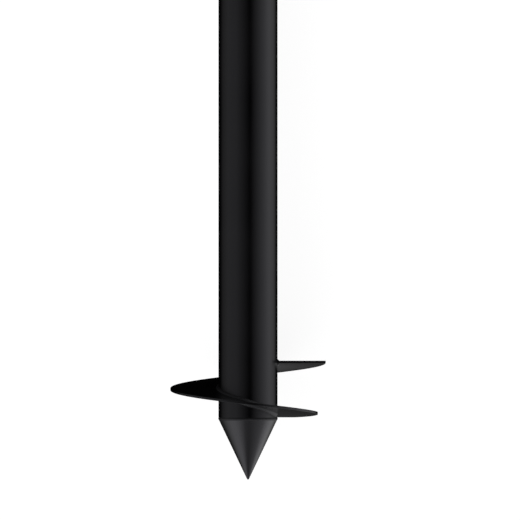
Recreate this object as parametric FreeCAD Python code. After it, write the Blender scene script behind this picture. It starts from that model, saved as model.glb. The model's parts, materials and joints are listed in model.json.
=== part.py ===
import FreeCAD, Part
import math
import os

# A helical ground pile: a long steel tube with a hollow sheet-metal cone welded to its foot,
# one turn of left-hand screw blade welded round it just above the cone, and a cross hole
# through the head for the bar that turns it into the ground.
# It is built standing on its tip with its axis along Z and is laid down on the floor last.
# Lengths are in millimetres.

# The whole pile
PILE_LENGTH = 2500.0             # from the tip of the cone to the head

# The tube
TUBE_DIAMETER = 76.0
TUBE_WALL = 3.0
HEAD_DEBURR = 0.4                # bevel on both rims of the sawn head

# The cross hole for the turning bar
LEVER_HOLE_DIAMETER = 31.0
LEVER_HOLE_FROM_HEAD = 70.0      # head to the middle of the hole

# The cone at the foot
CONE_HEIGHT = 78.0               # tip to the seam with the tube
CONE_WALL = 3.0
NOSE_RADIUS = 1.5                # the point is blunt by this much

# The ring weld between the tube and the cone
SEAM_GROOVE = 1.5                # depth and half width of the groove it fills
SEAM_CREST = 0.5                 # how far its ridge stands proud

# The screw blade
BLADE_DIAMETER = 200.0
BLADE_THICKNESS = 3.0
BLADE_PITCH = 70.0
BLADE_CORNER_RADIUS = 35.0       # the leading corner is rounded so that it cuts in
BLADE_FIT = 0.2                  # gap between the tube and the blade's bore
BLADE_ABOVE_SEAM = 0.5           # leading edge to the upper toe of the ring weld

# The two fillet welds that hold the blade
BLADE_WELD_LEG = 3.5
BLADE_WELD_ROOT = 1.0            # how deep the weld runs in between the tube and the bore
BLADE_WELD_SETBACK = 1.5         # bare length left at the blade's two end edges

# Sizes that follow from the ones above
TUBE_RADIUS = TUBE_DIAMETER / 2
BORE_RADIUS = TUBE_RADIUS - TUBE_WALL
BLADE_RADIUS = BLADE_DIAMETER / 2
BLADE_BORE_RADIUS = TUBE_RADIUS + BLADE_FIT
SEAM_HEIGHT = CONE_HEIGHT
BLADE_FOOT = SEAM_HEIGHT + SEAM_GROOVE + BLADE_ABOVE_SEAM
WELD_END_TURN = BLADE_WELD_SETBACK / (math.pi * TUBE_DIAMETER)

# How far a rough shape runs past the face that trims it
SPARE = 2.0

# The turn of the blade, counted up from its leading edge, at which it touches the floor
RESTING_TURN = 0.75


def point(radius, height):
    """A point in the plane through the axis in which every section is drawn."""
    return FreeCAD.Vector(radius, 0, height)


def straight(start, end):
    return Part.LineSegment(point(*start), point(*end)).toShape()


def bowed(start, middle, end):
    return Part.Arc(point(*start), point(*middle), point(*end)).toShape()


def outline(corners):
    """Straight edges through the corners, closed back to the first."""
    return [straight(a, b) for a, b in zip(corners, corners[1:] + corners[:1])]


def raised_middle(start, end, height):
    """The point that stands by height to the right of the middle of the line from start to end."""
    along = (end[0] - start[0], end[1] - start[1])
    length = math.hypot(*along)
    return (
        (start[0] + end[0]) / 2 + height * along[1] / length,
        (start[1] + end[1]) / 2 - height * along[0] / length,
    )


def revolved(edges):
    """The solid swept by a closed section turned once round the axis."""
    face = Part.Face(Part.Wire(edges))
    return face.revolve(FreeCAD.Vector(), FreeCAD.Vector(0, 0, 1), 360)


def rod(radius, bottom, top):
    return Part.makeCylinder(radius, top - bottom, FreeCAD.Vector(0, 0, bottom))


def single_solid(shape):
    """The one solid that a cut or a trim leaves."""
    return shape.removeSplitter().Solids[0]


def screwed(edges, start_turn, turns):
    """The solid swept by a closed section that climbs round the tube with the blade's pitch.

    Turns are counted up from the blade's leading edge, and the screw is left-handed.
    """
    path = Part.makeHelix(BLADE_PITCH, BLADE_PITCH * turns, TUBE_RADIUS, 0, True)
    sweep = Part.BRepOffsetAPI.MakePipeShell(path)
    sweep.setBiNormalMode(FreeCAD.Vector(0, 0, 1))
    sweep.add(Part.Wire(edges))
    sweep.build()
    sweep.makeSolid()
    solid = sweep.shape()
    solid.rotate(FreeCAD.Vector(), FreeCAD.Vector(0, 0, 1), -360 * start_turn)
    solid.translate(FreeCAD.Vector(0, 0, BLADE_FOOT + BLADE_PITCH * start_turn))
    return solid


def blade_depth(radius):
    """The blade's thickness measured along the axis, which grows towards the steep inner edge."""
    climb = BLADE_PITCH / (2 * math.pi * radius)
    return BLADE_THICKNESS * math.hypot(1, climb)


def blade_top(radius):
    """Height of the blade's upper face above its lower one, straight from bore to rim."""
    at_bore = blade_depth(BLADE_BORE_RADIUS)
    at_rim = blade_depth(BLADE_RADIUS)
    share = (radius - BLADE_BORE_RADIUS) / (BLADE_RADIUS - BLADE_BORE_RADIUS)
    return at_bore + (at_rim - at_bore) * share


def make_tube():
    """The tube, grooved outside at the foot for the ring weld and drilled across at the head."""
    tube = revolved(outline([
        (BORE_RADIUS, SEAM_HEIGHT),
        (TUBE_RADIUS - SEAM_GROOVE, SEAM_HEIGHT),
        (TUBE_RADIUS, SEAM_HEIGHT + SEAM_GROOVE),
        (TUBE_RADIUS, PILE_LENGTH - HEAD_DEBURR),
        (TUBE_RADIUS - HEAD_DEBURR, PILE_LENGTH),
        (BORE_RADIUS + HEAD_DEBURR, PILE_LENGTH),
        (BORE_RADIUS, PILE_LENGTH - HEAD_DEBURR),
    ]))
    hole = Part.makeCylinder(
        LEVER_HOLE_DIAMETER / 2,
        TUBE_DIAMETER + 2 * SPARE,
        FreeCAD.Vector(0, -TUBE_RADIUS - SPARE, PILE_LENGTH - LEVER_HOLE_FROM_HEAD),
        FreeCAD.Vector(0, 1, 0),
    )
    return single_solid(tube.cut(hole))


def cone_half_angle():
    """The angle between the cone's flank and the axis, with the flank touching the round nose."""
    rise = SEAM_HEIGHT - NOSE_RADIUS
    to_nose_centre = math.hypot(TUBE_RADIUS, rise)
    return math.atan2(TUBE_RADIUS, rise) - math.asin(NOSE_RADIUS / to_nose_centre)


def make_tip_cone():
    """The hollow cone, grooved outside at its base like the tube that stands on it."""
    angle = cone_half_angle()
    sharp_tip = NOSE_RADIUS - NOSE_RADIUS / math.sin(angle)
    inner_tip = sharp_tip + CONE_WALL / math.sin(angle)
    inner_base = TUBE_RADIUS - CONE_WALL / math.cos(angle)
    nose_end = (NOSE_RADIUS * math.cos(angle), NOSE_RADIUS - NOSE_RADIUS * math.sin(angle))
    half_way = math.radians(45) - angle / 2
    nose_middle = (
        NOSE_RADIUS * math.sin(half_way),
        NOSE_RADIUS - NOSE_RADIUS * math.cos(half_way),
    )
    groove_foot = (TUBE_RADIUS - SEAM_GROOVE * math.tan(angle), SEAM_HEIGHT - SEAM_GROOVE)
    groove_root = (TUBE_RADIUS - SEAM_GROOVE, SEAM_HEIGHT)
    return revolved([
        bowed((0, 0), nose_middle, nose_end),
        straight(nose_end, groove_foot),
        straight(groove_foot, groove_root),
        straight(groove_root, (inner_base, SEAM_HEIGHT)),
        straight((inner_base, SEAM_HEIGHT), (0, inner_tip)),
        straight((0, inner_tip), (0, 0)),
    ])


def make_tip_weld():
    """The ring bead that fills the groove between the tube and the cone, with a low ridge."""
    root = (TUBE_RADIUS - SEAM_GROOVE, SEAM_HEIGHT)
    lower_toe = (
        TUBE_RADIUS - SEAM_GROOVE * math.tan(cone_half_angle()),
        SEAM_HEIGHT - SEAM_GROOVE,
    )
    upper_toe = (TUBE_RADIUS, SEAM_HEIGHT + SEAM_GROOVE)
    ridge = raised_middle(lower_toe, upper_toe, SEAM_CREST)
    return revolved(outline([root, lower_toe, ridge, upper_toe]))


def blade_plan():
    """The blade's outline seen along the axis: a full circle that loses its leading corner.

    The leading end lies on the side of negative Y and has the round corner, and the trailing
    end lies on the side of positive Y and keeps its sharp one.
    """
    to_corner_centre = BLADE_RADIUS - BLADE_CORNER_RADIUS
    edge_end = math.sqrt(to_corner_centre**2 - BLADE_CORNER_RADIUS**2)
    centre = FreeCAD.Vector(edge_end, -BLADE_CORNER_RADIUS, 0)
    on_rim = centre * (BLADE_RADIUS / to_corner_centre)
    on_edge = FreeCAD.Vector(edge_end, 0, 0)
    sharp_corner = FreeCAD.Vector(BLADE_RADIUS, 0, 0)
    outwards = (on_rim - centre).normalize() + FreeCAD.Vector(0, 1, 0)
    on_corner = centre + outwards.normalize() * BLADE_CORNER_RADIUS
    far_side = FreeCAD.Vector(-BLADE_RADIUS, 0, 0)
    return Part.Face(Part.Wire([
        Part.Arc(sharp_corner, far_side, on_rim).toShape(),
        Part.Arc(on_rim, on_corner, on_edge).toShape(),
        Part.LineSegment(on_edge, sharp_corner).toShape(),
    ]))


def make_blade():
    """One turn of screw plate, cut to its plan outline and bored to pass over the tube."""
    inner = TUBE_RADIUS - SPARE
    outer = BLADE_RADIUS + SPARE
    slab = screwed(outline([
        (inner, 0),
        (outer, 0),
        (outer, blade_top(outer)),
        (inner, blade_top(inner)),
    ]), 0, 1)
    bottom = BLADE_FOOT - SPARE
    top = BLADE_FOOT + BLADE_PITCH + blade_depth(inner) + SPARE
    plan = blade_plan()
    plan.translate(FreeCAD.Vector(0, 0, bottom))
    prism = plan.extrude(FreeCAD.Vector(0, 0, top - bottom))
    bore = rod(BLADE_BORE_RADIUS, bottom - SPARE, top + SPARE)
    return single_solid(slab.common(prism).cut(bore))


def blade_face(radius, side):
    """Height of the blade's upper face, for side 1, or of its lower face, for side -1."""
    return blade_top(radius) if side > 0 else 0


def bead_section(side):
    """The section of a fillet weld in the corner between the blade and the tube.

    Its sloping face leaves the blade at 45 degrees. The section runs on into the tube and the
    blade, which then trim the bead.
    """
    inside = TUBE_RADIUS - SPARE
    toe_radius = TUBE_RADIUS + BLADE_WELD_LEG
    toe_height = blade_face(toe_radius, side)
    root_height = toe_height - side * BLADE_WELD_ROOT
    return outline([
        (inside, root_height),
        (toe_radius + BLADE_WELD_ROOT, root_height),
        (inside, toe_height + side * (toe_radius - inside)),
    ])


def fillet_bead(blade, side, start_turn):
    """The weld on one side of the blade, from one turn of the screw to the trailing edge."""
    end_turn = 1 - WELD_END_TURN
    bead = screwed(bead_section(side), start_turn, end_turn - start_turn)
    return single_solid(bead.cut(rod(TUBE_RADIUS, 0, PILE_LENGTH)).cut(blade))


def make_upper_blade_weld(blade):
    """The bead on the blade's upper face, along the whole turn."""
    return fillet_bead(blade, 1, WELD_END_TURN)


def make_lower_blade_weld(blade):
    """The bead under the blade, from where the blade has climbed clear of the ring weld."""
    climb = max(BLADE_WELD_LEG - BLADE_ABOVE_SEAM, 0)
    return fillet_bead(blade, -1, climb / BLADE_PITCH + WELD_END_TURN)


def laid_down():
    """The placement that lays the pile on the floor, resting on its blade's rim and its head.

    The tip points to -Y and the head to +Y, with the blade's end edges towards +X. The box
    round the pile is centred on the origin, and its underside is at Z = 0.
    """
    blade_touch = BLADE_FOOT + BLADE_PITCH * RESTING_TURN + blade_depth(BLADE_RADIUS)
    head_touch = PILE_LENGTH - HEAD_DEBURR
    tilt = math.atan2(BLADE_RADIUS - TUBE_RADIUS, head_touch - blade_touch)
    height = head_touch * math.sin(tilt) + TUBE_RADIUS * math.cos(tilt)
    head_end = PILE_LENGTH * math.cos(tilt) + (TUBE_RADIUS - HEAD_DEBURR) * math.sin(tilt)
    tip_end = -NOSE_RADIUS * (1 - math.cos(tilt))
    return FreeCAD.Placement(
        FreeCAD.Vector(0, -(head_end + tip_end) / 2, height),
        FreeCAD.Rotation(FreeCAD.Vector(1, 0, 0), -90 - math.degrees(tilt)),
    )


def main():
    blade = make_blade()
    nodes = {
        "tube": make_tube(),
        "tip_cone": make_tip_cone(),
        "tip_weld": make_tip_weld(),
        "blade": blade,
        "blade_weld_upper": make_upper_blade_weld(blade),
        "blade_weld_lower": make_lower_blade_weld(blade),
    }
    placement = laid_down()
    os.makedirs("parts", exist_ok=True)
    for name, solid in nodes.items():
        solid.Placement = placement.multiply(solid.Placement)
        solid.exportStep(f"parts/{name}.step")


main()
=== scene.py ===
import json
import logging
import math
from dataclasses import dataclass
from enum import Enum

import bmesh
import bpy
from mathutils import Matrix, Vector


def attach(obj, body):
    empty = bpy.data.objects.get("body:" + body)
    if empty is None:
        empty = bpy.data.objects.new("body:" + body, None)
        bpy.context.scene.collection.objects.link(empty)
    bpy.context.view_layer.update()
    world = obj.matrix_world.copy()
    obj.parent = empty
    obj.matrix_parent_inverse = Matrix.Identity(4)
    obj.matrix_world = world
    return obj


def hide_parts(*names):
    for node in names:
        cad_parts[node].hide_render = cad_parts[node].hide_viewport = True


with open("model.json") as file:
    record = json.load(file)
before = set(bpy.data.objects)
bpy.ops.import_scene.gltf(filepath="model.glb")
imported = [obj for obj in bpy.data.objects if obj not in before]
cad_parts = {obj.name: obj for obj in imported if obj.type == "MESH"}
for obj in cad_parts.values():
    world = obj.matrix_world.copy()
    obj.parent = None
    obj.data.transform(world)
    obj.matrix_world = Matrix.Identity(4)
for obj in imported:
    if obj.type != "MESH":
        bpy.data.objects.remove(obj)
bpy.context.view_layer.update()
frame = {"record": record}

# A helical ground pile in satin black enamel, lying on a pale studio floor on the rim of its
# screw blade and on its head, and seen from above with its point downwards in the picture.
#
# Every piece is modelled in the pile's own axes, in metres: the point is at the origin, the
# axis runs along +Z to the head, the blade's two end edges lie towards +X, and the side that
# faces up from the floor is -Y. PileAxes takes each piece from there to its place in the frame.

LOG = logging.getLogger("helical_pile")

Color = tuple[float, float, float]
Section = list[tuple[float, float]]
Value = bpy.types.NodeSocket | float

MM = 0.001
BODY = "root"
WHITE = (1.0, 1.0, 1.0, 1.0)

PILE_LENGTH = 2500 * MM
TUBE_RADIUS = 38 * MM
TUBE_WALL = 3 * MM
HEAD_DEBURR = 0.4 * MM
SEAM_HEIGHT = 78 * MM
SEAM_GROOVE = 1.5 * MM

# Edges whose faces turn by more than SHARP are eased, in so many segments.
SHARP = math.radians(50)
EASE_SEGMENTS = 3
# Flats across the skin of a weld bead.
BEAD_FLATS = 12
# Slack in telling a face or a vertex by its radius.
NEAR = 0.1 * MM
# Vertices of a turned and of a cut mesh that are no further apart than this are one.
TURN_MERGE = 1e-7
CUT_MERGE = 1e-6


class Slot(Enum):
    """The names of the record's material slots."""

    ENAMEL = "black_enamel"
    WELD = "enamelled_weld"


class BeadSide(Enum):
    """The face of the blade that a fillet weld lies on."""

    UPPER = 1
    LOWER = -1


@dataclass(frozen=True)
class PileAxes:
    """Where the pile lies in the frame."""

    tip: Vector
    axis: Vector
    up: Vector

    @classmethod
    def from_record(cls, record: dict) -> "PileAxes":
        """Reads the pile's pose from the tube's bore, which opens just below the deburred head.

        Args:
            record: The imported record.

        Returns:
            The axes of the pile as it lies.
        """
        mounts = {mount["name"]: mount for mount in record["mounts"]}
        mouth = Vector(mounts["tube_bore"]["pos_m"])
        axis = Vector(mounts["tube_bore"]["axis"]).normalized()
        up = Vector(mounts["lever_hole"]["axis"]).normalized()
        return cls(tip=mouth - axis * (PILE_LENGTH - HEAD_DEBURR), axis=axis, up=up)

    @property
    def right(self) -> Vector:
        """The way that the blade's end edges point."""
        return self.axis.cross(self.up)

    def matrix(self) -> Matrix:
        """The change from the pile's own axes to the frame."""
        turned = Matrix((self.right, -self.up, self.axis)).transposed()
        return Matrix.Translation(self.tip) @ turned.to_4x4()

    def place(self, right: float, height: float) -> Vector:
        """A point of the frame, given from the tip along the pile's own directions.

        Args:
            right: Distance towards the blade's end edges.
            height: Distance from the tip along the axis.

        Returns:
            The point in the frame.
        """
        return self.tip + self.right * right + self.axis * height


@dataclass(frozen=True)
class Screw:
    """The left-hand screw that the blade and its welds follow."""

    pitch: float = 70 * MM
    foot: float = SEAM_HEIGHT + 2 * MM

    def height(self, turn: float) -> float:
        """Height of the blade's lower face after so many turns from its leading edge."""
        return self.foot + self.pitch * turn

    def turn_at(self, point: Vector) -> float:
        """Turns climbed from the leading edge to a point on or near the blade.

        Args:
            point: A point in the pile's own axes.

        Returns:
            The turn, with the whole turns settled by the point's height.
        """
        part = -math.atan2(point.y, point.x) / math.tau
        climbed = (point.z - self.foot) / self.pitch
        return part + round(climbed - part)


def new_group(name: str, inputs: dict[str, float], outputs: dict[str, str]) -> bpy.types.NodeTree:
    """Starts a shader node group with its sockets.

    Args:
        name: Name of the group.
        inputs: Each input number's name and usual value.
        outputs: Each output's name and socket type.

    Returns:
        The group, holding its input and output nodes only.
    """
    group = bpy.data.node_groups.new(name, "ShaderNodeTree")
    for label, value in inputs.items():
        socket = group.interface.new_socket(label, in_out="INPUT", socket_type="NodeSocketFloat")
        socket.default_value = value
    for label, kind in outputs.items():
        group.interface.new_socket(label, in_out="OUTPUT", socket_type=kind)
    group.nodes.new("NodeGroupInput")
    group.nodes.new("NodeGroupOutput")
    return group


def add_node(tree: bpy.types.NodeTree, kind: str, **values: float) -> bpy.types.Node:
    """Adds a node and sets its unlinked inputs.

    Args:
        tree: The node tree.
        kind: The node's type name.
        values: Input values by the socket's name, with underscores for spaces.

    Returns:
        The node.
    """
    node = tree.nodes.new(kind)
    for label, value in values.items():
        node.inputs[label.replace("_", " ")].default_value = value
    return node


def add_math(
    tree: bpy.types.NodeTree, operation: str, first: Value, second: Value
) -> bpy.types.NodeSocket:
    """Adds a Math node on two sockets or numbers.

    Args:
        tree: The node tree.
        operation: The operation, such as MULTIPLY.
        first: A socket or a number.
        second: A socket or a number.

    Returns:
        The result's socket.
    """
    node = tree.nodes.new("ShaderNodeMath")
    node.operation = operation
    for socket, value in zip(node.inputs, (first, second)):
        if isinstance(value, bpy.types.NodeSocket):
            tree.links.new(value, socket)
        else:
            socket.default_value = value
    return node.outputs[0]


def add_range(
    tree: bpy.types.NodeTree,
    value: bpy.types.NodeSocket,
    source: tuple[float, float],
    target: tuple[float, float],
) -> bpy.types.NodeSocket:
    """Adds a clamped Map Range node.

    Args:
        tree: The node tree.
        value: The socket to map.
        source: The value's range.
        target: The range that it becomes.

    Returns:
        The result's socket.
    """
    node = add_node(
        tree, "ShaderNodeMapRange",
        From_Min=source[0], From_Max=source[1], To_Min=target[0], To_Max=target[1],
    )
    tree.links.new(value, node.inputs["Value"])
    return node.outputs["Result"]


def add_ramp(
    tree: bpy.types.NodeTree,
    value: bpy.types.NodeSocket,
    first: tuple[float, Color],
    last: tuple[float, Color],
) -> bpy.types.NodeSocket:
    """Adds a ramp between two colours.

    Args:
        tree: The node tree.
        value: The socket that picks the colour.
        first: The value up to which the first colour holds, and the colour.
        last: The value from which the last colour holds, and the colour.

    Returns:
        The colour's socket.
    """
    node = tree.nodes.new("ShaderNodeValToRGB")
    for element, (position, color) in zip(node.color_ramp.elements, (first, last)):
        element.position = position
        element.color = (*color, 1.0)
    tree.links.new(value, node.inputs["Fac"])
    return node.outputs["Color"]


def new_material(name: str) -> tuple[bpy.types.NodeTree, bpy.types.Node, bpy.types.Material]:
    """Starts a material.

    Args:
        name: Its name.

    Returns:
        Its node tree, its Principled BSDF and the material itself.
    """
    material = bpy.data.materials.new(name)
    material.use_nodes = True
    tree = material.node_tree
    return tree, tree.nodes["Principled BSDF"], material


def add_film(
    tree: bpy.types.NodeTree, film: bpy.types.NodeTree, values: dict[str, float]
) -> bpy.types.Node:
    """Adds the paint film's group.

    Args:
        tree: The node tree.
        film: The group.
        values: The group's input values by name.

    Returns:
        The group's node.
    """
    node = tree.nodes.new("ShaderNodeGroup")
    node.node_tree = film
    for label, value in values.items():
        node.inputs[label].default_value = value
    return node


@dataclass(frozen=True)
class Grain:
    """One noise of a finish, and how much it counts where a finish mixes several."""

    scale: float
    detail: float
    amount: float = 1.0
    roughness: float = 0.5

    def build(
        self, tree: bpy.types.NodeTree, place: bpy.types.NodeSocket
    ) -> bpy.types.NodeSocket:
        """Adds the noise.

        Args:
            tree: The node tree.
            place: The Object coordinates.

        Returns:
            The noise, from 0 to 1 about 0.5.
        """
        node = add_node(
            tree, "ShaderNodeTexNoise",
            Scale=self.scale, Detail=self.detail, Roughness=self.roughness,
        )
        tree.links.new(place, node.inputs["Vector"])
        return node.outputs["Fac"]


@dataclass(frozen=True)
class PaintFilm:
    """The shader group of a sprayed enamel film: orange peel, soft runs and uneven gloss."""

    name: str = "paint_film"
    peel: Grain = Grain(260.0, 1.0)
    flow: Grain = Grain(18.0, 2.0)
    gloss: Grain = Grain(7.0, 3.0, amount=2.0)
    dust: Grain = Grain(900.0, 0.0, amount=0.8)
    tone: Grain = Grain(14.0, 6.0)

    def build(self) -> bpy.types.NodeTree:
        """Makes the group, with the film's height, roughness and tone as outputs."""
        group = new_group(
            self.name,
            {"Roughness": 0.4, "Uneven Gloss": 0.04, "Peel": 1.0, "Flow": 1.0},
            dict.fromkeys(("Roughness", "Height", "Tone"), "NodeSocketFloat"),
        )
        start, end = group.nodes["Group Input"], group.nodes["Group Output"]
        place = group.nodes.new("ShaderNodeTexCoord").outputs["Object"]

        def scaled(grain: Grain, amount: Value) -> bpy.types.NodeSocket:
            """A grain's noise about 0, times an amount."""
            centred = add_math(group, "SUBTRACT", grain.build(group, place), 0.5)
            return add_math(group, "MULTIPLY", centred, amount)

        peel = scaled(self.peel, start.outputs["Peel"])
        flow = scaled(self.flow, start.outputs["Flow"])
        group.links.new(add_math(group, "ADD", peel, flow), end.inputs["Height"])

        gloss = scaled(self.gloss, self.gloss.amount)
        both = add_math(group, "ADD", gloss, scaled(self.dust, self.dust.amount))
        uneven = add_math(group, "MULTIPLY", both, start.outputs["Uneven Gloss"])
        roughness = add_math(group, "ADD", uneven, start.outputs["Roughness"])
        group.links.new(roughness, end.inputs["Roughness"])
        group.links.new(self.tone.build(group, place), end.inputs["Tone"])
        return group


@dataclass(frozen=True)
class Enamel:
    """Satin black enamel over steel, whose tone runs from deep to pale over a range of noise."""

    name: str
    roughness: float
    uneven_gloss: float
    specular: float
    peel: float
    flow: float
    relief: float
    deep: Color = (0.0014, 0.0014, 0.0016)
    pale: Color = (0.0032, 0.0031, 0.0034)
    deep_to: float = 0.35
    pale_from: float = 0.65
    sheen: Color = (0.93, 0.925, 1.0)

    def build(self, film: bpy.types.NodeTree) -> bpy.types.Material:
        """Makes the material.

        Args:
            film: The paint film's shader group.

        Returns:
            The material.
        """
        tree, shader, material = new_material(self.name)
        shader.inputs["Specular IOR Level"].default_value = self.specular
        shader.inputs["Specular Tint"].default_value = (*self.sheen, 1.0)
        coat = add_film(tree, film, {
            "Roughness": self.roughness,
            "Uneven Gloss": self.uneven_gloss,
            "Peel": self.peel,
            "Flow": self.flow,
        })
        bump = add_node(tree, "ShaderNodeBump", Strength=1.0, Distance=self.relief)
        tree.links.new(coat.outputs["Height"], bump.inputs["Height"])
        tree.links.new(bump.outputs["Normal"], shader.inputs["Normal"])
        tree.links.new(coat.outputs["Roughness"], shader.inputs["Roughness"])
        tone = coat.outputs["Tone"]
        color = add_ramp(tree, tone, (self.deep_to, self.deep), (self.pale_from, self.pale))
        tree.links.new(color, shader.inputs["Base Color"])
        return material


@dataclass(frozen=True)
class MillScale:
    """The bare inside of the tube, blue-grey from rolling with a bloom of light rust."""

    name: str = "mill_scale"
    scale_color: Color = (0.045, 0.047, 0.052)
    bloom_color: Color = (0.095, 0.062, 0.042)
    scale_to: float = 0.45
    bloom_from: float = 0.75
    patches: Grain = Grain(30.0, 6.0, roughness=0.6)
    roughness: float = 0.62
    uneven_gloss: float = 0.12

    def build(self, film: bpy.types.NodeTree) -> bpy.types.Material:
        """Makes the material.

        Args:
            film: The shader group whose grain breaks up the gloss.

        Returns:
            The material.
        """
        tree, shader, material = new_material(self.name)
        place = tree.nodes.new("ShaderNodeTexCoord").outputs["Object"]
        color = add_ramp(
            tree, self.patches.build(tree, place),
            (self.scale_to, self.scale_color), (self.bloom_from, self.bloom_color),
        )
        tree.links.new(color, shader.inputs["Base Color"])
        gloss = {"Roughness": self.roughness, "Uneven Gloss": self.uneven_gloss}
        grain = add_film(tree, film, gloss)
        tree.links.new(grain.outputs["Roughness"], shader.inputs["Roughness"])
        return material


@dataclass
class Finishes:
    """Every material of the pile, built once."""

    enamel: bpy.types.Material
    blade_enamel: bpy.types.Material
    weld_enamel: bpy.types.Material
    bore: bpy.types.Material

    @classmethod
    def build(cls) -> "Finishes":
        """Makes the shared paint film and the materials on it."""
        film = PaintFilm().build()
        tube = Enamel(
            "tube_enamel", roughness=0.20, uneven_gloss=0.05, specular=0.5,
            peel=0.35, flow=0.6, relief=0.12 * MM,
        )
        blade = Enamel(
            "blade_enamel", roughness=0.24, uneven_gloss=0.06, specular=0.5,
            peel=0.45, flow=1.0, relief=0.16 * MM,
        )
        weld = Enamel(
            "weld_enamel", roughness=0.48, uneven_gloss=0.06, specular=0.36,
            peel=0.6, flow=0.6, relief=0.14 * MM,
        )
        return cls(tube.build(film), blade.build(film), weld.build(film), MillScale().build(film))


def place_mesh(name: str, bm: bmesh.types.BMesh) -> bpy.types.Object:
    """Makes an object at the origin of a finished mesh.

    Args:
        name: Name of the object and its mesh.
        bm: The mesh, which is freed.

    Returns:
        The object, in the scene.
    """
    mesh = bpy.data.meshes.new(name)
    bm.to_mesh(mesh)
    bm.free()
    made = bpy.data.objects.new(name, mesh)
    bpy.context.scene.collection.objects.link(made)
    return made


def section_loop(bm: bmesh.types.BMesh, corners: Section, closed: bool) -> list:
    """Draws a section in the half plane towards +X.

    Args:
        bm: The mesh to draw in.
        corners: Radius and height of each corner.
        closed: Whether the last corner joins the first.

    Returns:
        The section's vertices and edges.
    """
    verts = [bm.verts.new((radius, 0.0, height)) for radius, height in corners]
    ends = verts[1:] + verts[:1] if closed else verts[1:]
    edges = [bm.edges.new(pair) for pair in zip(verts, ends)]
    return verts + edges


def arc(
    centre: tuple[float, float], radius: float, start: float, end: float, steps: int
) -> Section:
    """Points of an arc in the section's plane.

    Args:
        centre: Radius and height of the arc's centre.
        radius: The arc's own radius.
        start: First angle in degrees, from straight outwards towards the head.
        end: Last angle in degrees.
        steps: Number of equal steps.

    Returns:
        The points from the first angle to the last.
    """
    angles = (math.radians(start + (end - start) * step / steps) for step in range(steps + 1))
    return [(centre[0] + radius * math.cos(a), centre[1] + radius * math.sin(a)) for a in angles]


def evenly(start: float, end: float, steps: int) -> list[float]:
    """Values in equal steps from start to end, both included."""
    return [start + (end - start) * step / steps for step in range(steps + 1)]


def turned(corners: Section, steps: int) -> bmesh.types.BMesh:
    """A closed section turned once round the axis.

    Args:
        corners: Radius and height of each corner of the section.
        steps: Number of flats round the turn.

    Returns:
        The closed mesh, with its poles merged.
    """
    bm = bmesh.new()
    geom = section_loop(bm, corners, closed=True)
    bmesh.ops.spin(
        bm, geom=geom, cent=(0, 0, 0), axis=(0, 0, 1), dvec=(0, 0, 0),
        angle=math.tau, steps=steps, use_merge=True,
    )
    bmesh.ops.remove_doubles(bm, verts=bm.verts, dist=TURN_MERGE)
    bmesh.ops.dissolve_degenerate(bm, dist=TURN_MERGE, edges=bm.edges)
    return bm


def ease(bm: bmesh.types.BMesh, edges: list[bmesh.types.BMEdge], width: float) -> None:
    """Rounds those of some edges that are sharp, as shearing, filing and paint leave them.

    Args:
        bm: The mesh, with its normals facing outwards.
        edges: The edges to look at.
        width: How far the rounding reaches to each side.
    """
    sharp = [edge for edge in edges if edge.calc_face_angle(0) > SHARP]
    bmesh.ops.bevel(
        bm, geom=sharp, offset=width, offset_type="OFFSET", affect="EDGES",
        segments=EASE_SEGMENTS, profile=0.5, material=-1, clamp_overlap=False,
    )


@dataclass(frozen=True)
class Workshop:
    """Turns finished meshes into pieces that lie in their place on the frame."""

    axes: PileAxes
    smooth_limit: float = math.radians(32)

    def piece(
        self,
        name: str,
        bm: bmesh.types.BMesh,
        nodes: tuple[str, ...],
        slot: Slot,
        materials: tuple[bpy.types.Material, ...],
    ) -> bpy.types.Object:
        """Makes a piece that stands for CAD nodes.

        Args:
            name: The piece's name.
            bm: Its mesh in the pile's own axes, which is freed.
            nodes: The CAD nodes that it stands for.
            slot: The record's slot of its finish; not used.
            materials: Its materials, by the faces' material index.

        Returns:
            The object, at the origin with its place in its mesh.
        """
        bmesh.ops.recalc_face_normals(bm, faces=bm.faces)
        bm.transform(self.axes.matrix())
        for face in bm.faces:
            face.smooth = True
        for edge in bm.edges:
            edge.smooth = len(edge.link_faces) == 2 and edge.calc_face_angle(0) < self.smooth_limit
        piece = place_mesh(name, bm)
        for material in materials:
            piece.data.materials.append(material)
        weighted = piece.modifiers.new("weighted_normals", "WEIGHTED_NORMAL")
        weighted.keep_sharp = True
        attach(piece, BODY)
        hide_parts(*nodes)
        LOG.info("%s: %d faces", name, len(piece.data.polygons))
        return piece


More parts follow.
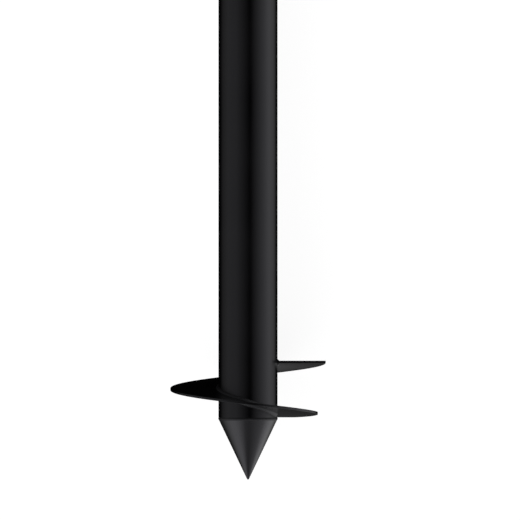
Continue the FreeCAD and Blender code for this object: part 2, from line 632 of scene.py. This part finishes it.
@dataclass
class Tube:
    """The tube, with its sawn head and the cross hole for the turning bar."""

    foot: float = SEAM_HEIGHT
    groove: float = SEAM_GROOVE
    deburr: float = HEAD_DEBURR
    hole_radius: float = 15.5 * MM
    hole_from_head: float = 70 * MM
    hole_round: float = 0.3 * MM
    hole_merge: float = 0.15 * MM
    drill_length: float = 4 * TUBE_RADIUS
    rings: int = 24
    flats: int = 200
    hole_flats: int = 96

    @property
    def bore_radius(self) -> float:
        """Radius of the tube's inner wall."""
        return TUBE_RADIUS - TUBE_WALL

    def section(self) -> Section:
        """The wall's section, with rings along it that keep its long faces true."""
        top = PILE_LENGTH - self.deburr
        low = self.foot + self.groove
        outside = [(TUBE_RADIUS, height) for height in evenly(low, top, self.rings)]
        inside = [(self.bore_radius, height) for height in evenly(top, self.foot, self.rings)]
        rim = [
            (TUBE_RADIUS - self.deburr, PILE_LENGTH),
            (self.bore_radius + self.deburr, PILE_LENGTH),
        ]
        return outside + rim + inside + [(TUBE_RADIUS - self.groove, self.foot)]

    def drill(self) -> bpy.types.Object:
        """A cutter for the cross hole, longer than the tube is wide."""
        bm = bmesh.new()
        bmesh.ops.create_cone(
            bm, cap_ends=True, segments=self.hole_flats,
            radius1=self.hole_radius, radius2=self.hole_radius, depth=self.drill_length,
            matrix=Matrix.Translation((0, 0, PILE_LENGTH - self.hole_from_head))
            @ Matrix.Rotation(math.pi / 2, 4, "X"),
        )
        return place_mesh("drill", bm)

    def drilled(self, bm: bmesh.types.BMesh) -> bmesh.types.BMesh:
        """Drills the cross hole through a tube.

        Args:
            bm: The plain tube, which is freed.

        Returns:
            The tube with the hole.
        """
        blank = place_mesh("blank", bm)
        cutter = self.drill()
        cut = blank.modifiers.new("cross_hole", "BOOLEAN")
        cut.operation = "DIFFERENCE"
        cut.solver = "MANIFOLD"
        cut.object = cutter
        graph = bpy.context.evaluated_depsgraph_get()
        result = bmesh.new()
        result.from_object(blank, graph)
        for helper in (blank, cutter):
            bpy.data.objects.remove(helper)
        bmesh.ops.remove_doubles(result, verts=result.verts, dist=CUT_MERGE)
        return result

    def in_hole(self, vert: bmesh.types.BMVert) -> bool:
        """Whether a vertex lies on the cross hole's wall."""
        up = vert.co.z - PILE_LENGTH + self.hole_from_head
        return math.hypot(vert.co.x, up) < self.hole_radius + self.hole_merge

    def filed(self, bm: bmesh.types.BMesh) -> None:
        """Breaks the sharp rims of the cross hole.

        Args:
            bm: The drilled tube.
        """
        wall = [vert for vert in bm.verts if self.in_hole(vert)]
        bmesh.ops.remove_doubles(bm, verts=wall, dist=self.hole_merge)
        bmesh.ops.recalc_face_normals(bm, faces=bm.faces)
        rims = [edge for edge in bm.edges if all(self.in_hole(vert) for vert in edge.verts)]
        ease(bm, rims, self.hole_round)

    def build(self, workshop: Workshop, finishes: Finishes) -> bpy.types.Object:
        """Makes the tube, enamelled outside and bare inside."""
        bm = turned(self.section(), self.flats)
        bmesh.ops.recalc_face_normals(bm, faces=bm.faces)
        bm = self.drilled(bm)
        self.filed(bm)
        for face in bm.faces:
            radii = [math.hypot(vert.co.x, vert.co.y) for vert in face.verts]
            face.material_index = int(max(radii) < self.bore_radius + NEAR)
        return workshop.piece(
            "tube_body", bm, ("tube",), Slot.ENAMEL, (finishes.enamel, finishes.bore)
        )


@dataclass
class TipCone:
    """The hollow cone that leads the pile into the ground."""

    height: float = SEAM_HEIGHT
    wall: float = 3 * MM
    nose: float = 1.5 * MM
    groove: float = SEAM_GROOVE
    nose_flats: int = 8
    rings: int = 12
    flats: int = 192

    @property
    def half_angle(self) -> float:
        """Angle between the flank and the axis."""
        rise = self.height - self.nose
        return math.atan2(TUBE_RADIUS, rise) - math.asin(self.nose / math.hypot(TUBE_RADIUS, rise))

    def section(self) -> Section:
        """The wall's section, from the point up the flank and down the inside."""
        slope = math.degrees(self.half_angle)
        nose = arc((0, self.nose), self.nose, -90, -slope, self.nose_flats)
        nose[0] = (0.0, 0.0)
        end_radius, end_height = nose[-1]
        top_radius = TUBE_RADIUS - self.groove * math.tan(self.half_angle)
        top_height = self.height - self.groove
        flank = list(zip(
            evenly(end_radius, top_radius, self.rings), evenly(end_height, top_height, self.rings)
        ))
        inner_base = TUBE_RADIUS - self.wall / math.cos(self.half_angle)
        inner_tip = self.nose + (self.wall - self.nose) / math.sin(self.half_angle)
        return nose[:-1] + flank + [
            (TUBE_RADIUS - self.groove, self.height),
            (inner_base, self.height),
            (0.0, inner_tip),
        ]

    def build(self, workshop: Workshop, finishes: Finishes) -> bpy.types.Object:
        """Makes the cone."""
        bm = turned(self.section(), self.flats)
        return workshop.piece("tip_cone_body", bm, ("tip_cone",), Slot.ENAMEL, (finishes.enamel,))


@dataclass
class Blade:
    """One turn of screw plate with a rounded leading corner."""

    screw: Screw
    radius: float = 100 * MM
    thickness: float = 3 * MM
    corner_radius: float = 35 * MM
    fit: float = 0.2 * MM
    edge_round: float = 0.3 * MM
    flats: int = 360
    rings: int = 12
    corner_spread: float = 0.75

    @property
    def bore_radius(self) -> float:
        """Radius of the hole that goes over the tube."""
        return TUBE_RADIUS + self.fit

    @property
    def corner_centre(self) -> Vector:
        """Centre of the round leading corner, seen along the axis."""
        to_centre = self.radius - self.corner_radius
        return Vector((math.sqrt(to_centre**2 - self.corner_radius**2), -self.corner_radius))

    @property
    def corner_angle(self) -> float:
        """Angle round the axis from the leading edge to where the corner meets the rim."""
        return math.atan2(-self.corner_centre.y, self.corner_centre.x)

    def depth(self, radius: float) -> float:
        """The plate's thickness measured along the axis at a radius."""
        def along_axis(at: float) -> float:
            """The thickness along the axis that a true screw plate has at one radius."""
            return self.thickness * math.hypot(1, self.screw.pitch / (math.tau * at))

        share = (radius - self.bore_radius) / (self.radius - self.bore_radius)
        inner, outer = along_axis(self.bore_radius), along_axis(self.radius)
        return inner + (outer - inner) * share

    def corner_point(self, share: float, across: float) -> Vector:
        """A point near the leading corner, seen along the axis.

        Args:
            share: Place along the corner, from 0 at the leading edge to 1 at the rim.
            across: Place across the plate, from 0 at the bore to 1 at the outline.

        Returns:
            The point on a straight line from the bore to the round corner.
        """
        on_bore = -self.corner_angle * share
        round_share = share**self.corner_spread
        on_corner = math.pi / 2 - (math.pi / 2 + self.corner_angle) * round_share
        inner = Vector((math.cos(on_bore), math.sin(on_bore))) * self.bore_radius
        round_it = Vector((math.cos(on_corner), math.sin(on_corner))) * self.corner_radius
        return inner.lerp(self.corner_centre + round_it, across)

    def cornered(self, bm: bmesh.types.BMesh) -> None:
        """Draws a full turn of plate in to its round leading corner.

        Args:
            bm: The plate's lower face.
        """
        for vert in bm.verts:
            share = math.tau * self.screw.turn_at(vert.co) / self.corner_angle
            if share < 1:
                width = self.radius - self.bore_radius
                across = (math.hypot(vert.co.x, vert.co.y) - self.bore_radius) / width
                plan = self.corner_point(max(share, 0.0), across)
                turn = -math.atan2(plan.y, plan.x) / math.tau
                vert.co = (plan.x, plan.y, self.screw.height(turn))

    def plate(self) -> bmesh.types.BMesh:
        """The plate's lower face, drawn in to its outline."""
        bm = bmesh.new()
        line = [(r, self.screw.foot) for r in evenly(self.bore_radius, self.radius, self.rings)]
        geom = section_loop(bm, line, closed=False)
        climb = self.screw.pitch / self.flats
        bmesh.ops.spin(
            bm, geom=geom, cent=(0, 0, 0), axis=(0, 0, 1), dvec=(0, 0, climb),
            angle=-math.tau, steps=self.flats, use_merge=False,
        )
        self.cornered(bm)
        return bm

    def thickened(self, bm: bmesh.types.BMesh) -> None:
        """Gives the plate its thickness, upwards along the axis.

        Args:
            bm: The plate's lower face.
        """
        geom = [*bm.faces, *bm.edges, *bm.verts]
        raised = bmesh.ops.extrude_face_region(bm, geom=geom, use_keep_orig=True)["geom"]
        for vert in raised:
            if isinstance(vert, bmesh.types.BMVert):
                vert.co.z += self.depth(math.hypot(vert.co.x, vert.co.y))

    def build(self, workshop: Workshop, finishes: Finishes) -> bpy.types.Object:
        """Makes the blade."""
        bm = self.plate()
        self.thickened(bm)
        bmesh.ops.recalc_face_normals(bm, faces=bm.faces)
        ease(bm, bm.edges[:], self.edge_round)
        return workshop.piece(
            "blade_plate", bm, ("blade",), Slot.ENAMEL, (finishes.blade_enamel,)
        )


@dataclass(frozen=True)
class Ripple:
    """The scale pattern that a weld's puddle leaves along its bead.

    Each wave of its wander shifts the ripples by so many spacings, at so much angle a ripple.
    """

    spacing: float = 2.6 * MM
    height: float = 0.26 * MM
    bow: float = 0.55
    wander: tuple[tuple[float, float], ...] = ((0.22, 0.71), (0.15, 1.93))
    steps: int = 6

    def lift(self, along: float, across: float) -> float:
        """How far the bead's skin stands out.

        Args:
            along: Distance along the bead.
            across: Place across the bead, from 0 at one toe to 1 at the other.

        Returns:
            The distance, which is nothing at the toes.
        """
        middle = math.sin(math.pi * across)
        count = along / self.spacing
        wander = sum(shift * math.sin(count * rate) for shift, rate in self.wander)
        phase = count + self.bow * middle + wander
        return self.height * abs(math.sin(math.pi * phase)) * middle


@dataclass
class SeamWeld:
    """The ring weld between the tube and the cone."""

    half_width: float = 1.9 * MM
    crown: float = 0.35 * MM
    root: float = 1.2 * MM
    ripple: Ripple = Ripple()

    def section(self) -> Section:
        """The bead's crown from the cone to the tube, closed behind at its root."""
        slope = math.tan(TipCone().half_angle)
        lower = (TUBE_RADIUS - self.half_width * slope, SEAM_HEIGHT - self.half_width)
        upper = (TUBE_RADIUS, SEAM_HEIGHT + self.half_width)
        crown = [
            (
                lower[0] + (upper[0] - lower[0]) * share + self.crown * math.sin(math.pi * share),
                lower[1] + (upper[1] - lower[1]) * share,
            )
            for share in evenly(0, 1, BEAD_FLATS)
        ]
        return [(TUBE_RADIUS - self.root, SEAM_HEIGHT)] + crown

    def build(self, workshop: Workshop, finishes: Finishes) -> bpy.types.Object:
        """Makes the ring weld."""
        count = round(math.tau * TUBE_RADIUS / self.ripple.spacing)
        bm = turned(self.section(), count * self.ripple.steps)
        low = SEAM_HEIGHT - self.half_width
        for vert in bm.verts:
            radius = math.hypot(vert.co.x, vert.co.y)
            if radius > TUBE_RADIUS - self.root + NEAR:
                across = (vert.co.z - low) / (2 * self.half_width)
                turn = math.atan2(vert.co.y, vert.co.x) / math.tau + 0.5
                along = turn * count * self.ripple.spacing
                scale = 1 + self.ripple.lift(along, across) / radius
                vert.co.x *= scale
                vert.co.y *= scale
        return workshop.piece(
            "seam_bead", bm, ("tip_weld",), Slot.WELD, (finishes.weld_enamel,)
        )


@dataclass
class FilletWeld:
    """The fillet weld along one face of the blade."""

    blade: Blade
    side: BeadSide
    node: str
    start_turn: float
    end_turn: float
    leg: float = 3.5 * MM
    bulge: float = 0.2 * MM
    sink: float = 0.25 * MM
    end_size: float = 0.12
    ripple: Ripple = Ripple()

    def root(self) -> tuple[float, float]:
        """Radius and height of the corner that the bead fills, at the leading edge."""
        face = self.blade.depth(TUBE_RADIUS) if self.side is BeadSide.UPPER else 0.0
        return TUBE_RADIUS, self.blade.screw.foot + face

    def section(self) -> Section:
        """The bead's section, sunk a little into the tube and the blade.

        Returns:
            The corner behind the bead and then its skin, from the blade to the tube.
        """
        radius, height = self.root()
        way = self.side.value
        skin = []
        for share in evenly(0, 1, BEAD_FLATS):
            out = self.leg * (1 - share) - self.sink * share
            up = self.leg * share - self.sink * (1 - share)
            swell = self.bulge * math.sin(math.pi * share)
            skin.append((radius + out + swell, height + way * (up + swell)))
        return [(radius - self.sink, height - way * self.sink)] + skin

    def swept(self) -> bmesh.types.BMesh:
        """The smooth bead, swept along the screw and closed at its ends."""
        screw = self.blade.screw
        turns = self.end_turn - self.start_turn
        steps = round(math.tau * TUBE_RADIUS * turns / self.ripple.spacing) * self.ripple.steps
        bm = bmesh.new()
        geom = section_loop(bm, self.section(), closed=True)
        start = Matrix.Rotation(-math.tau * self.start_turn, 4, "Z")
        start.translation.z = screw.pitch * self.start_turn
        bm.transform(start)
        bmesh.ops.spin(
            bm, geom=geom, cent=(0, 0, 0), axis=(0, 0, 1),
            dvec=(0, 0, screw.pitch * turns / steps),
            angle=-math.tau * turns, steps=steps, use_merge=False,
        )
        ends = [edge for edge in bm.edges if edge.is_boundary]
        bmesh.ops.holes_fill(bm, edges=ends, sides=0)
        return bm

    def rippled(self, bm: bmesh.types.BMesh) -> None:
        """Raises the ripples and runs the bead out at its two ends.

        Args:
            bm: The smooth bead.
        """
        radius, height = self.root()
        way = self.side.value
        screw = self.blade.screw
        fade = self.leg / (math.tau * TUBE_RADIUS)
        for vert in bm.verts:
            turn = screw.turn_at(vert.co - Vector((0, 0, height - screw.foot)))
            out = math.hypot(vert.co.x, vert.co.y) - radius
            up = way * (vert.co.z - height - screw.pitch * turn)
            if max(out, up) <= 0:
                continue
            across = min(max(math.atan2(up, out) / (math.pi / 2), 0), 1)
            lift = self.ripple.lift(turn * math.tau * TUBE_RADIUS, across)
            to_end = min(turn - self.start_turn, self.end_turn - turn) / fade
            near_end = min(max(to_end, 0), 1)
            keep = math.sqrt(near_end * (2 - near_end))
            swell = 1 + lift * keep / max(math.hypot(out, up), CUT_MERGE)
            size = (self.end_size + (1 - self.end_size) * keep) * swell
            scale = (radius + out * size) / (radius + out)
            vert.co.x *= scale
            vert.co.y *= scale
            vert.co.z += way * up * (size - 1)

    def build(self, workshop: Workshop, finishes: Finishes) -> bpy.types.Object:
        """Makes the fillet weld."""
        bm = self.swept()
        self.rippled(bm)
        return workshop.piece(
            f"{self.node}_bead", bm, (self.node,), Slot.WELD, (finishes.weld_enamel,)
        )


@dataclass
class Pile:
    """The whole pile."""

    workshop: Workshop
    finishes: Finishes
    weld_setback: float = 1.5 * MM
    lower_weld_clearance: float = 3.0 * MM

    def build(self) -> list[bpy.types.Object]:
        """Makes every piece, from the head to the point.

        Returns:
            The pieces.
        """
        screw = Screw()
        blade = Blade(screw)
        setback = self.weld_setback / (math.tau * TUBE_RADIUS)
        late_start = self.lower_weld_clearance / screw.pitch + setback
        parts = [
            Tube(),
            TipCone(),
            SeamWeld(),
            blade,
            FilletWeld(blade, BeadSide.UPPER, "blade_weld_upper", setback, 1 - setback),
            FilletWeld(blade, BeadSide.LOWER, "blade_weld_lower", late_start, 1 - setback),
        ]
        return [part.build(self.workshop, self.finishes) for part in parts]


@dataclass(frozen=True)
class Panel:
    """A long soft panel beside the pile, as the enamel sees it.

    Its place is given by angles round the pile's axis, from straight up towards the right. It
    brightens evenly from the first angle to the second and fades from the third to the fourth.
    """

    radiance: float
    dark_from: float
    full_from: float
    full_to: float
    dark_to: float

    def build(self, tree: bpy.types.NodeTree, around: bpy.types.NodeSocket) -> bpy.types.NodeSocket:
        """Adds the panel to a world's nodes.

        Args:
            tree: The world's node tree.
            around: The angle round the pile's axis, in degrees.

        Returns:
            The panel's radiance in each direction.
        """
        rise = add_range(tree, around, (self.dark_from, self.full_from), (0.0, 1.0))
        fall = add_range(tree, around, (self.full_to, self.dark_to), (1.0, 0.0))
        return add_math(tree, "MULTIPLY", add_math(tree, "MINIMUM", rise, fall), self.radiance)


@dataclass(frozen=True)
class LightTent:
    """White surroundings: a tent of soft panels along the pile and a brighter one at its point."""

    axes: PileAxes
    sides: tuple[Panel, ...] = (
        Panel(radiance=0.39, dark_from=-132, full_from=-84, full_to=-48, dark_to=6),
        Panel(radiance=0.97, dark_from=11, full_from=82, full_to=94, dark_to=139),
    )
    ends: tuple[Panel, ...] = (
        Panel(radiance=1.05, dark_from=-135, full_from=-92, full_to=-65, dark_to=-16),
        Panel(radiance=1.85, dark_from=80, full_from=118, full_to=130, dark_to=165),
        Panel(radiance=0.38, dark_from=-178, full_from=-122, full_to=179, dark_to=180),
        Panel(radiance=0.15, dark_from=-181, full_from=-180, full_to=-179, dark_to=-158),
    )
    end_from: float = 0.10
    end_full: float = 0.80
    side_loss: float = 0.45

    def along(self, tree: bpy.types.NodeTree, way: Vector) -> bpy.types.NodeSocket:
        """How far each direction points along a way, from -1 to 1."""
        dot = tree.nodes.new("ShaderNodeVectorMath")
        dot.operation = "DOT_PRODUCT"
        tree.links.new(tree.nodes.new("ShaderNodeTexCoord").outputs["Generated"], dot.inputs[0])
        dot.inputs[1].default_value = way
        return dot.outputs["Value"]

    def total(
        self, tree: bpy.types.NodeTree, panels: tuple[Panel, ...], around: bpy.types.NodeSocket
    ) -> bpy.types.NodeSocket:
        """The radiance of several panels together.

        Args:
            tree: The world's node tree.
            panels: The panels.
            around: The angle round the pile's axis, in degrees.

        Returns:
            Their sum.
        """
        parts = [panel.build(tree, around) for panel in panels]
        result = parts[0]
        for part in parts[1:]:
            result = add_math(tree, "ADD", result, part)
        return result

    def build(self) -> None:
        """Makes the world, plain white to the camera and the tent to all else."""
        world = bpy.data.worlds.new("light_tent")
        world.use_nodes = True
        tree = world.node_tree
        angle = add_math(
            tree, "ARCTAN2", self.along(tree, self.axes.right), self.along(tree, self.axes.up)
        )
        around = add_math(tree, "MULTIPLY", angle, math.degrees(1))
        to_point = self.along(tree, -self.axes.axis)
        reach = (self.end_from, self.end_full)
        share = add_range(tree, to_point, reach, (0.0, 1.0))
        kept = add_range(tree, to_point, reach, (1.0, 1.0 - self.side_loss))
        sides = add_math(tree, "MULTIPLY", self.total(tree, self.sides, around), kept)
        ends = add_math(tree, "MULTIPLY", self.total(tree, self.ends, around), share)
        tent = add_math(tree, "ADD", sides, ends)
        seen = tree.nodes.new("ShaderNodeLightPath").outputs["Is Camera Ray"]
        strength = add_math(tree, "MAXIMUM", seen, tent)
        tree.links.new(strength, tree.nodes["Background"].inputs["Strength"])
        tree.nodes["Background"].inputs["Color"].default_value = WHITE
        bpy.context.scene.world = world


@dataclass(frozen=True)
class SoftBox:
    """A square soft light overhead, which neither the camera nor the enamel sees."""

    place: Vector
    target: Vector
    size: float = 3.0
    radiance: float = 0.6

    def build(self) -> None:
        """Makes the light."""
        light = bpy.data.lights.new("overhead", "AREA")
        light.size = self.size
        light.energy = self.radiance * math.pi * self.size**2
        lamp = bpy.data.objects.new("overhead", light)
        turned = (self.place - self.target).to_track_quat("Z", "Y").to_matrix()
        lamp.matrix_world = Matrix.Translation(self.place) @ turned.to_4x4()
        lamp.visible_camera = False
        lamp.visible_glossy = False
        bpy.context.scene.collection.objects.link(lamp)


@dataclass(frozen=True)
class Studio:
    """The pale floor, the surroundings, the lights and the camera.

    The drawing has no perspective, so the camera stands far off. Its aim is given in pixels of
    the picture, and its scale in pixels a metre at the pile's axis.
    """

    axes: PileAxes
    floor_size: float = 400.0
    floor_color: Color = (0.45, 0.45, 0.45)
    floor_roughness: float = 0.9
    floor_glow: float = 0.85
    lamp_offset: tuple[float, float, float] = (-1.5, 0.0, 3.0)
    picture_width: float = 520.0
    scale: float = 777.0
    axis_column: float = 248.0
    tip_row: float = 479.6
    camera_distance: float = 20.0
    sensor: float = 36.0
    clip: tuple[float, float] = (0.1, 1000.0)

    def floor(self) -> None:
        """A plain pale floor, which doesn't show in the enamel."""
        bm = bmesh.new()
        bmesh.ops.create_grid(bm, x_segments=1, y_segments=1, size=self.floor_size / 2)
        floor = place_mesh("floor", bm)
        _, shader, material = new_material("pale_floor")
        shader.inputs["Base Color"].default_value = (*self.floor_color, 1.0)
        shader.inputs["Roughness"].default_value = self.floor_roughness
        shader.inputs["Specular IOR Level"].default_value = 0.0
        shader.inputs["Emission Color"].default_value = WHITE
        shader.inputs["Emission Strength"].default_value = self.floor_glow
        floor.data.materials.append(material)
        floor.visible_glossy = False
        floor.visible_diffuse = False
        floor.visible_shadow = False

    def camera(self) -> None:
        """The camera, straight above the pile with the point at the bottom of the picture."""
        data = bpy.data.cameras.new("camera")
        centre = self.picture_width / 2
        aim = self.axes.place(
            (centre - self.axis_column) / self.scale, (self.tip_row - centre) / self.scale
        )
        data.sensor_width = self.sensor
        data.lens = self.sensor * self.camera_distance * self.scale / self.picture_width
        data.clip_start, data.clip_end = self.clip
        camera = bpy.data.objects.new("camera", data)
        turned = Matrix((self.axes.right, self.axes.axis, self.axes.up)).transposed()
        place = aim + self.axes.up * self.camera_distance
        camera.matrix_world = Matrix.Translation(place) @ turned.to_4x4()
        bpy.context.scene.collection.objects.link(camera)
        bpy.context.scene.camera = camera

    def build(self) -> None:
        """Makes the whole studio."""
        self.floor()
        LightTent(self.axes).build()
        middle = self.axes.place(0, PILE_LENGTH / 2)
        SoftBox(middle + Vector(self.lamp_offset), middle).build()
        self.camera()
        bpy.context.scene.view_settings.view_transform = "Standard"


def main() -> None:
    """Builds the pile and its studio."""
    logging.basicConfig(level=logging.INFO, format="%(name)s: %(message)s")
    axes = PileAxes.from_record(frame["record"])
    LOG.info("axis %s, tip %s", axes.axis, axes.tip)
    pieces = Pile(Workshop(axes), Finishes.build()).build()
    LOG.info("%d pieces", len(pieces))
    Studio(axes).build()


if __name__ == "__main__":
    main()
